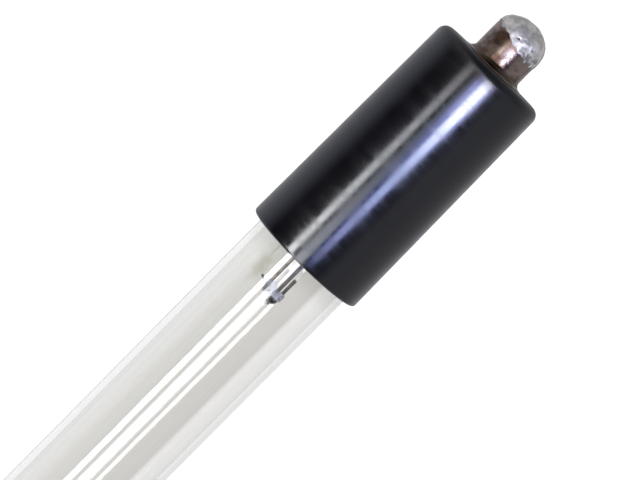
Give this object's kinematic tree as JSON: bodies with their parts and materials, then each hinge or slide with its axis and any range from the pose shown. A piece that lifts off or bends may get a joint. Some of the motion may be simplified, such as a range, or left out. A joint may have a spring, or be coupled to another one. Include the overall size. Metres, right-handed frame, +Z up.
{
  "type": "uvc germicidal lamp tube",
  "caption": "Straight quartz germicidal discharge lamp with a black moulded cap and a single round contact pin at each end.",
  "frame": {"origin": "middle of the lamp, on the axis of the tube", "axes": "+X along the lamp towards end a, the end that the picture shows; +Z up when the two leads of each electrode lie side by side"},
  "size_m": [0.303, 0.019, 0.019],
  "materials": {
    "quartz": "clear fused quartz, fire polished",
    "phenolic": "moulded black phenolic with fine rings, semi-gloss",
    "contact_metal": "nickel plated, tarnished brown",
    "solder": "dull grey, rough and pitted",
    "cement": "matt off-white",
    "zinc_steel": "dull plated",
    "lead_wire": "drawn nickel wire, dulled by heat",
    "molybdenum": "rolled foil",
    "coated_coil": "tungsten with a matt white oxide coating",
    "mercury": "liquid metal"
  },
  "bodies": {
    "root": {"quartz_tube": "quartz", "mercury_bead": "mercury", "end_cap_a": "phenolic", "end_cap_b": "phenolic", "basing_cement_a": "cement", "basing_cement_b": "cement", "contact_a": "contact_metal", "contact_b": "contact_metal", "contact_washer_a": "zinc_steel", "contact_washer_b": "zinc_steel", "solder_tip_a": "solder", "solder_tip_b": "solder", "outer_lead_1_a": "lead_wire", "outer_lead_2_a": "lead_wire", "outer_lead_1_b": "lead_wire", "outer_lead_2_b": "lead_wire", "inner_lead_1_a": "lead_wire", "inner_lead_2_a": "lead_wire", "inner_lead_1_b": "lead_wire", "inner_lead_2_b": "lead_wire", "seal_foil_1_a": "molybdenum", "seal_foil_2_a": "molybdenum", "seal_foil_1_b": "molybdenum", "seal_foil_2_b": "molybdenum", "coil_clamp_1_a": "lead_wire", "coil_clamp_2_a": "lead_wire", "coil_clamp_1_b": "lead_wire", "coil_clamp_2_b": "lead_wire", "electrode_coil_a": "coated_coil", "electrode_coil_b": "coated_coil"}
  },
  "joints": []
}
